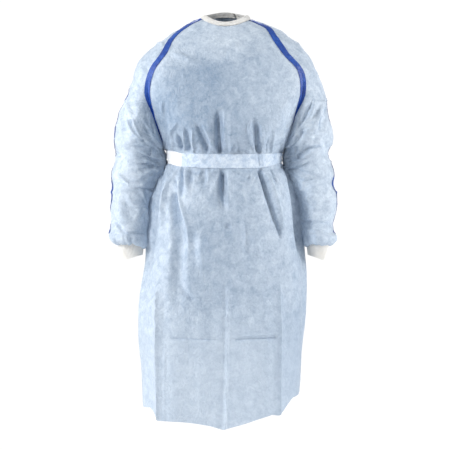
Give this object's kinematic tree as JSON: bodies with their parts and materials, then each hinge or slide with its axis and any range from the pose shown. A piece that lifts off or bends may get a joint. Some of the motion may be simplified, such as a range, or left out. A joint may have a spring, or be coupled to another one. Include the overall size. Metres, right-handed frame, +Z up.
{
  "type": "chemotherapy gown",
  "caption": "Worn protective gown with raglan sleeves, knitted cuffs, bound neck, taped seams, an open overlapping back and a belt tied behind.",
  "frame": {"origin": "where the wearer's shoulders hold the gown, midway between the two sides of the neck opening", "axes": "+Z up along the wearer, -Y the way the gown's front faces, +X towards the wearer's left hand"},
  "size_m": [0.5785, 0.3284, 1.048],
  "materials": {
    "gown_cloth": "pale blue coated nonwoven, matte with a soft sheen",
    "seam_tape": "royal blue heat-sealed seam tape, satin",
    "white_knit": "cream white rib knit, matte"
  },
  "bodies": {
    "root": {"front": "gown_cloth", "back_left": "gown_cloth", "back_right": "gown_cloth", "sleeve_left": "gown_cloth", "sleeve_right": "gown_cloth", "belt": "gown_cloth", "belt_knot": "gown_cloth", "belt_tail_left": "gown_cloth", "belt_tail_right": "gown_cloth", "tape_front_left": "seam_tape", "tape_front_right": "seam_tape", "tape_back_left": "seam_tape", "tape_back_right": "seam_tape", "tape_sleeve_left": "seam_tape", "tape_sleeve_right": "seam_tape", "neck_binding": "white_knit", "cuff_left": "white_knit", "cuff_right": "white_knit"}
  },
  "joints": []
}
